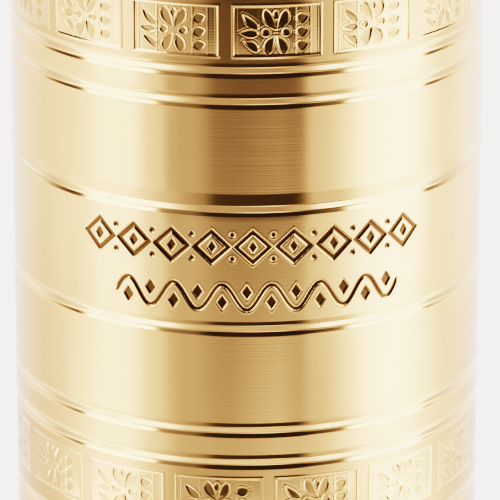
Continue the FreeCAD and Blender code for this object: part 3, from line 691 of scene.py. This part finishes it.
def make_foot():
    """The cup's floor with its rounded rim and the plug that goes up into the wall."""
    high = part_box("base_cap")[1]
    edge, plug = high.x, high.z
    plug_bore = BORE_RADIUS - PLUG_WALL
    profile = [(0.0, 0.0), (edge - FOOT_ROUND - 0.2 * MM, 0.0)]
    profile += arc((edge - FOOT_ROUND, FOOT_ROUND), FOOT_ROUND, -84, 84, 24)
    profile += [(BORE_RADIUS, WALL_FOOT), (BORE_RADIUS, plug), (plug_bore, plug)]
    profile += [(plug_bore, FLOOR_THICKNESS), (0.0, FLOOR_THICKNESS)]
    vertices, faces = weld(*lathe(profile, ROUND_SIDES))

    def in_cup(place):
        return place[2] > 0.95 * FLOOR_THICKNESS and np.hypot(*place[:2]) < BORE_RADIUS

    marks = inside_marks(vertices, faces, in_cup)
    return new_piece("foot", vertices, faces, "receiver", "base_cap", [POLISHED, BORE], marks)


# ---- lid and handle ---------------------------------------------------------------------------------------
# Their outlines are in millimetres from the axis and from the foot of the piece.

def in_metres(points, foot):
    """(radius, height above foot) in millimetres to metres."""
    return [(radius * MM, foot + height * MM) for radius, height in points]


def dome_line(start, end, bend, steps):
    """Points of the upper arc of radius bend from start to end, both included."""
    start, end = np.array(start), np.array(end)
    middle, chord = (start + end) / 2, end - start
    length = np.hypot(*chord)
    normal = np.array([chord[1], -chord[0]]) / length
    centre = middle - normal * math.sqrt(bend**2 - length**2 / 4)
    first = math.degrees(math.atan2(*(start - centre)[::-1]))
    last = math.degrees(math.atan2(*(end - centre)[::-1]))
    return arc(centre, bend, first, last, steps)


def make_lid():
    """The dome with a rolled edge, a groove above it and a stepped collar at the top."""
    foot = foot_of("lid_dome")
    outside = [(24.0, 0.0), (25.3, 0.0)]
    outside += arc((25.15, 0.85), 0.85, -78, 100, 18) + [(24.92, 1.78)]
    outside += arc((25.0, 2.35), 0.52, 250, 170, 8)
    outside += dome_line((24.3, 2.62), (9.0, 10.3), 32.0, 40)
    outside += arc((8.75, 10.72), 0.42, -20, 110, 9)
    outside += [(8.15, 11.05), (8.0, 11.25)] + arc((7.6, 12.95), 0.4, 0, 90, 7) + [(6.0, 13.35), (6.0, 9.85)]
    inside = dome_line((22.4, 1.45), (8.0, 9.35), 31.0, 30)[::-1]
    profile = in_metres(outside + [(8.0, 9.75)] + inside + [(24.0, 1.45)], foot)
    vertices, faces = weld(*lathe(profile, ROUND_SIDES))
    return new_piece("lid", vertices, faces, "lid", "lid_dome", [POLISHED])


def make_knob():
    """A ball on a waisted neck with a beaded foot, bored for the spindle."""
    low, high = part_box("knob")
    centre = ((low.x + high.x) / 2, 0.0)
    profile = [(1.55, 0.0), (3.85, 0.0)]
    profile += arc((3.85, 0.35), 0.35, -90, 0, 6) + arc((3.85, 0.8), 0.35, 0, 80, 6)
    profile += [(3.68, 1.22)] + arc((3.55, 1.75), 0.5, -60, 60, 10) + [(3.55, 2.3), (3.5, 2.6)]
    profile += arc((4.75, 2.9), 1.25, 180, 118, 10)
    belly = np.radians(np.linspace(-52, 63, 48))
    profile += [(0.6 + 7.0 * math.cos(a), 9.0 + 6.45 * math.sin(a)) for a in belly]
    profile += arc((3.35, 15.05), 0.45, 40, 90, 6) + [(2.95, 15.5), (2.95, 14.15), (1.55, 14.15)]
    vertices, faces = weld(*lathe(in_metres(profile, low.z), KNOB_SIDES, centre))
    return new_piece("knob_ball", vertices, faces, "handle_knob", "knob", [POLISHED])


def dome_rows(radius, low, high, steps):
    """Radii and heights of a half-round dome that closes on the axis."""
    angle = np.linspace(0, math.pi / 2, steps)
    radii = radius * np.cos(angle)
    radii[-1] = 0.0
    return radii, low + (high - low) * np.sin(angle)


def make_cap_nut():
    """A hexagon with turned chamfers under an acorn dome."""
    foot, corner = foot_of("cap_nut"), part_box("cap_nut")[1].x / MM
    flat = corner * math.cos(math.radians(30))
    columns = 96
    # Radius, height and whether the row is cut to the hexagon.
    rows = [(0.0, 3.6, 0), (3.0, 3.6, 0), (3.0, 0.0, 0), (flat - 0.1, 0.0, 1), (corner - 0.05, 0.32, 1)]
    rows += [(corner, 0.45, 1), (corner, 2.95, 1), (corner - 0.05, 3.05, 1), (flat - 0.1, 3.4, 1)]
    rows += [(4.25, 3.42, 0), (4.12, 3.5, 0), (4.15, 3.62, 0)]
    rows += [(radius, height, 0) for radius, height in zip(*dome_rows(4.25, 3.75, 6.4, 16))]
    turn = np.linspace(0, 2 * math.pi, columns, endpoint=False)
    hexagon = flat / np.cos(np.mod(turn, math.pi / 3) - math.pi / 6)
    vertices, faces = lathe([(1.0, height) for _, height, _ in rows], columns)
    for row, (radius, height, faceted) in enumerate(rows):
        reach = np.minimum(hexagon, radius) if faceted else np.full(columns, radius)
        part = slice(row * columns, (row + 1) * columns)
        vertices[part, 0], vertices[part, 1] = reach * np.cos(turn), reach * np.sin(turn)
    vertices *= MM
    vertices[:, 2] += foot
    vertices, faces = weld(vertices, faces)
    return new_piece("acorn_nut", vertices, faces, "crank", "cap_nut", [POLISHED])


FLAT_BELOW = math.radians(0.5)
BEVEL_FROM = math.radians(32)


def round_edges(name, node, width):
    """A copy of a CAD node with its sharp edges rounded off, which stands for the node."""
    shape = bmesh.new()
    shape.from_mesh(frame["nodes"][node].data)
    bmesh.ops.remove_doubles(shape, verts=shape.verts, dist=0.002 * MM)
    bmesh.ops.dissolve_limit(shape, angle_limit=FLAT_BELOW, verts=shape.verts, edges=shape.edges)
    sharp = [e for e in shape.edges if e.is_manifold and e.calc_face_angle() > BEVEL_FROM]
    bmesh.ops.bevel(
        shape, geom=sharp, offset=width * MM, offset_type="OFFSET", segments=3, profile=0.5,
        affect="EDGES", clamp_overlap=True,
    )
    vertices, faces = tidied(shape)
    slot = SLOTS[node]
    return new_piece(name, vertices, faces, BODY_OF[node], node, [SLOT_MATERIALS[slot]])


SPRING_WIRE = 0.5 * MM
SPRING_TURNS = 9
ROWS_A_TURN = 40
WIRE_SIDES = 12


def make_spring():
    """An open coil with closed ends, clear of the washer by as much as the burr can rise."""
    low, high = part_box("tension_spring")
    wire = SPRING_WIRE
    foot = low.z + JOINTS["burr_lift"]["range_m"][1] + wire
    head = high.z - wire
    turns = np.linspace(0, SPRING_TURNS, SPRING_TURNS * ROWS_A_TURN + 1)
    closed = 2 * wire / (head - foot)
    climb = np.interp(turns, [0, 1, SPRING_TURNS - 1, SPRING_TURNS], [0, closed, 1 - closed, 1])
    angle = 2 * math.pi * turns
    reach = high.x - wire
    line = np.stack([reach * np.cos(angle), reach * np.sin(angle), foot + (head - foot) * climb], axis=-1)
    along = np.gradient(line, axis=0)
    along /= np.linalg.norm(along, axis=1)[:, None]
    outward = np.stack([np.cos(angle), np.sin(angle), np.zeros(len(angle))], axis=-1)
    upward = np.cross(along, outward)
    round_wire = np.linspace(0, 2 * math.pi, WIRE_SIDES, endpoint=False)
    rings = [line + wire * (math.cos(a) * outward + math.sin(a) * upward) for a in round_wire]
    vertices = np.stack(rings, axis=1).reshape(-1, 3)
    faces = []
    last = (len(line) - 1) * WIRE_SIDES
    for start in range(0, last, WIRE_SIDES):
        for side in range(WIRE_SIDES):
            here, beside = start + side, start + (side + 1) % WIRE_SIDES
            faces.append((here, beside, beside + WIRE_SIDES, here + WIRE_SIDES))
    faces += [tuple(range(WIRE_SIDES))[::-1], tuple(range(last, last + WIRE_SIDES))]
    vertices, faces = weld(vertices, faces)
    return new_piece("spring", vertices, faces, "mill_body", "tension_spring", [STEEL])


# New piece, CAD node and the width of its rounding in millimetres.
ROUNDED = [
    ("hub_flange", "crank_hub", 0.22), ("link", "crank_link", 0.35), ("arm", "crank_arm", 0.35),
    ("pin", "hinge_pin", 0.2), ("bush", "lid_bush", 0.2), ("spindle", "knob_spindle", 0.2),
    ("spindle_foot_nut", "spindle_nut", 0.2), ("spindle_ring", "spindle_washer", 0.12),
    ("collar", "lid_collar", 0.2), ("sleeve", "spigot_sleeve", 0.25), ("spider", "top_spider", 0.3),
    ("bridge", "bottom_bridge", 0.3), ("screws", "bridge_screws", 0.15),
    ("adjuster_knob", "adjusting_screw", 0.2),
]


# ---- floor, light and camera ------------------------------------------------------------------------------

FLOOR_RADIUS = 0.6
FLOOR_SIDES = 96
FLOOR_COLOUR = (0.7, 0.695, 0.69, 1)
FADE_FROM, FADE_TO = 38 * MM, 85 * MM


def make_floor():
    """A pale disc that fades into the backdrop a little way out from the foot."""
    mesh = bpy.data.meshes.new("floor")
    turn = np.linspace(0, 2 * math.pi, FLOOR_SIDES, endpoint=False)
    rim = [(FLOOR_RADIUS * math.cos(a), FLOOR_RADIUS * math.sin(a), 0.0) for a in turn]
    mesh.from_pydata(rim, [], [list(range(FLOOR_SIDES))])
    floor = bpy.data.objects.new("floor", mesh)
    bpy.context.scene.collection.objects.link(floor)
    material, shader, add, link = new_material("floor_pale")
    shader.inputs["Base Color"].default_value = FLOOR_COLOUR
    shader.inputs["Roughness"].default_value = 0.85
    place = add("TexCoord").outputs["Object"]
    distance = add("VectorMath", {0: place}, operation="LENGTH").outputs["Value"]
    fade_over = {"Value": distance, "From Min": FADE_FROM, "From Max": FADE_TO, "To Min": 1.0, "To Max": 0.0}
    fade = add("MapRange", fade_over, interpolation_type="SMOOTHSTEP")
    link(fade.outputs[0], "Alpha")
    mesh.materials.append(material)


# The studio round the mill: brightness by direction, in degrees round from the front (-Y) towards +X. The
# rings of light are stacked from straight below to straight above.
UNDER = [
    (-180, 1.6), (-110, 1.8), (-88, 2.4), (-78, 4.6), (-54, 4.6), (-44, 1.3), (-30, 0.5), (22, 0.4),
    (40, 0.8), (52, 3.8), (86, 4.2), (100, 2.4), (120, 1.8), (180, 1.6),
]
MIDDLE_TABLE = [
    (-180, 2.4), (-160, 2.0), (-140, 1.7), (-126, 0.9), (-106, 1.5), (-99, 4.5), (-66, 4.6), (-58, 2.2),
    (-48, 1.0), (-30, 0.5), (-8, 0.6), (6, 1.6), (16, 1.8), (26, 0.5), (34, 0.22), (56, 0.25), (64, 2.8),
    (72, 4.4), (110, 4.4), (120, 1.2), (136, 1.2), (156, 1.8), (180, 2.4),
]
NEAR_TABLE = [
    (-180, 1.4), (-150, 1.25), (-120, 1.15), (-96, 1.35), (-84, 2.0), (-76, 2.6), (-62, 2.6), (-56, 2.2),
    (-50, 1.55), (-42, 1.3), (-38, 1.0), (-32, 0.72), (-20, 0.7), (2, 0.6), (12, 0.7), (26, 0.98),
    (36, 1.2), (42, 1.5), (52, 2.5), (60, 3.2), (78, 3.8), (88, 3.1), (98, 2.1), (114, 1.6), (150, 1.5),
    (180, 1.4),
]
FAR_TABLE = [
    (-180, 1.4), (-138, 1.6), (-116, 1.4), (-103, 1.9), (-92, 2.0), (-82, 2.1), (-76, 3.2), (-56, 3.2),
    (-50, 1.5), (-42, 1.2), (-38, 0.42), (-33, 0.46), (-26, 0.6), (-20, 0.38), (-15, 0.2), (-3, 0.14),
    (22, 0.13), (27, 0.24), (31, 1.0), (41, 1.3), (51, 2.3), (58, 3.4), (72, 4.6), (88, 4.6), (97, 3.0),
    (104, 2.1), (119, 2.0), (130, 2.1), (180, 1.4),
]
LEVEL = [
    (-180, 1.5), (-160, 2.2), (-148, 1.6), (-126, 1.5), (-115, 1.6), (-104, 1.0), (-92, 1.1), (-84, 1.9),
    (-74, 2.6), (-60, 2.6), (-50, 1.5), (-42, 1.0), (-30, 0.55), (-21, 0.35), (-15, 0.08), (24, 0.06),
    (27, 0.15), (32, 0.8), (46, 1.0), (52, 1.6), (58, 2.7), (70, 3.6), (96, 3.2), (104, 1.9), (110, 1.3),
    (120, 1.5), (132, 2.2), (160, 2.4), (180, 1.5),
]
SHOULDER = [
    (-180, 1.6), (-150, 1.8), (-120, 1.7), (-100, 1.9), (-84, 2.2), (-74, 2.6), (-60, 2.6), (-50, 1.5),
    (-42, 1.0), (-30, 0.55), (-21, 0.35), (-15, 0.08), (24, 0.06), (27, 0.15), (32, 0.8), (46, 1.0),
    (52, 1.6), (58, 2.7), (70, 3.6), (96, 3.2), (110, 2.0), (132, 2.0), (160, 2.2), (180, 1.6),
]
HIGH = [
    (-180, 1.6), (-150, 1.7), (-116, 1.2), (-110, 0.08), (-86, 0.08), (-83, 5.0), (-48, 5.0), (-45, 0.3),
    (-26, 0.22), (-20, 0.05), (30, 0.04), (40, 0.15), (50, 0.2), (53, 5.0), (93, 5.0), (96, 0.08),
    (116, 0.08), (123, 1.6), (150, 1.8), (180, 1.6),
]
ROOF = [(0, 4.6)]
# The rings above the lowest one, with the sines of elevation over which each takes over from the one before.
STACK = [
    (MIDDLE_TABLE, (-0.76, -0.68)), (NEAR_TABLE, (-0.405, -0.377)), (FAR_TABLE, (-0.345, -0.305)),
    (LEVEL, (-0.285, -0.255)), (SHOULDER, (-0.235, -0.205)), (HIGH, (0.05, 0.22)), (ROOF, (0.76, 0.86)),
]
BRIGHTEST = 5.0
BACKDROP = 1.85
BACKDROP_COLOUR = (1.0, 0.985, 0.975, 1)


def make_studio():
    """A world that lights the mill with the studio and shows the camera a plain backdrop."""
    world = bpy.data.worlds.new("studio")
    bpy.context.scene.world = world
    world.use_nodes = True
    tree = world.node_tree
    tree.nodes.clear()
    add = node_adder(tree)

    def ring_of_light(stops, position):
        ramp = add("ValToRGB", {"Fac": position})
        elements = ramp.color_ramp.elements
        while len(elements) > 1:
            elements.remove(elements[0])
        for index, (degrees, brightness) in enumerate(stops):
            place = (degrees + 180) / 360
            element = elements[0] if index == 0 else elements.new(place)
            element.position = place
            level = brightness / BRIGHTEST
            element.color = (level, level, level, 1)
        return ramp.outputs["Color"]

    direction = add("TexCoord").outputs["Generated"]
    axes = add("SeparateXYZ", {"Vector": direction})
    away = add("Math", {0: axes.outputs["Y"], 1: -1.0}, operation="MULTIPLY").outputs[0]
    turn = add("Math", {0: axes.outputs["X"], 1: away}, operation="ARCTAN2").outputs[0]
    position = add("MapRange", {"Value": turn, "From Min": -math.pi, "From Max": math.pi}).outputs[0]
    light = ring_of_light(UNDER, position)
    for stops, rise in STACK:
        ring = ring_of_light(stops, position)
        take_over = {"Value": axes.outputs["Z"], "From Min": rise[0], "From Max": rise[1]}
        share = add("MapRange", take_over, interpolation_type="SMOOTHSTEP")
        light = add("Mix", {0: share.outputs[0], 6: light, 7: ring}, data_type="RGBA").outputs[2]
    studio = add("Background", {"Color": light, "Strength": BRIGHTEST})
    plain = add("Background", {"Color": BACKDROP_COLOUR, "Strength": BACKDROP})
    seen = add("LightPath").outputs["Is Camera Ray"]
    mixed = add("MixShader", {0: seen, 1: studio.outputs[0], 2: plain.outputs[0]})
    output = add("OutputWorld")
    tree.links.new(mixed.outputs[0], output.inputs["Surface"])


# The camera that was fitted to the curves of the turned lines.
CAMERA_REACH = 463.5 * MM
CAMERA_RISE = 130.35 * MM
CAMERA_PITCH = math.radians(18.75)
CAMERA_SIDE = math.radians(0.045)
CAMERA_LENS = 326.4
CAMERA_SENSOR = 36.0


def make_camera():
    camera_data = bpy.data.cameras.new("camera")
    camera_data.lens = CAMERA_LENS
    camera_data.sensor_width = CAMERA_SENSOR
    camera = bpy.data.objects.new("camera", camera_data)
    bpy.context.scene.collection.objects.link(camera)
    camera.location = (0.0, -CAMERA_REACH, UPPER_RINGS[1] + CAMERA_RISE)
    camera.rotation_euler = (math.pi / 2 - CAMERA_PITCH, 0.0, -CAMERA_SIDE)
    bpy.context.scene.camera = camera


def set_colours():
    view = bpy.context.scene.view_settings
    view.view_transform = "Filmic"
    view.look = "Very High Contrast"


make_walls()
make_foot()
make_lid()
make_knob()
make_cap_nut()
make_spring()
for name, node, width in ROUNDED:
    round_edges(name, node, width)
make_floor()
make_studio()
make_camera()
set_colours()

for node, slot in SLOTS.items():
    materials = frame["nodes"][node].data.materials
    materials.clear()
    materials.append(SLOT_MATERIALS[slot])
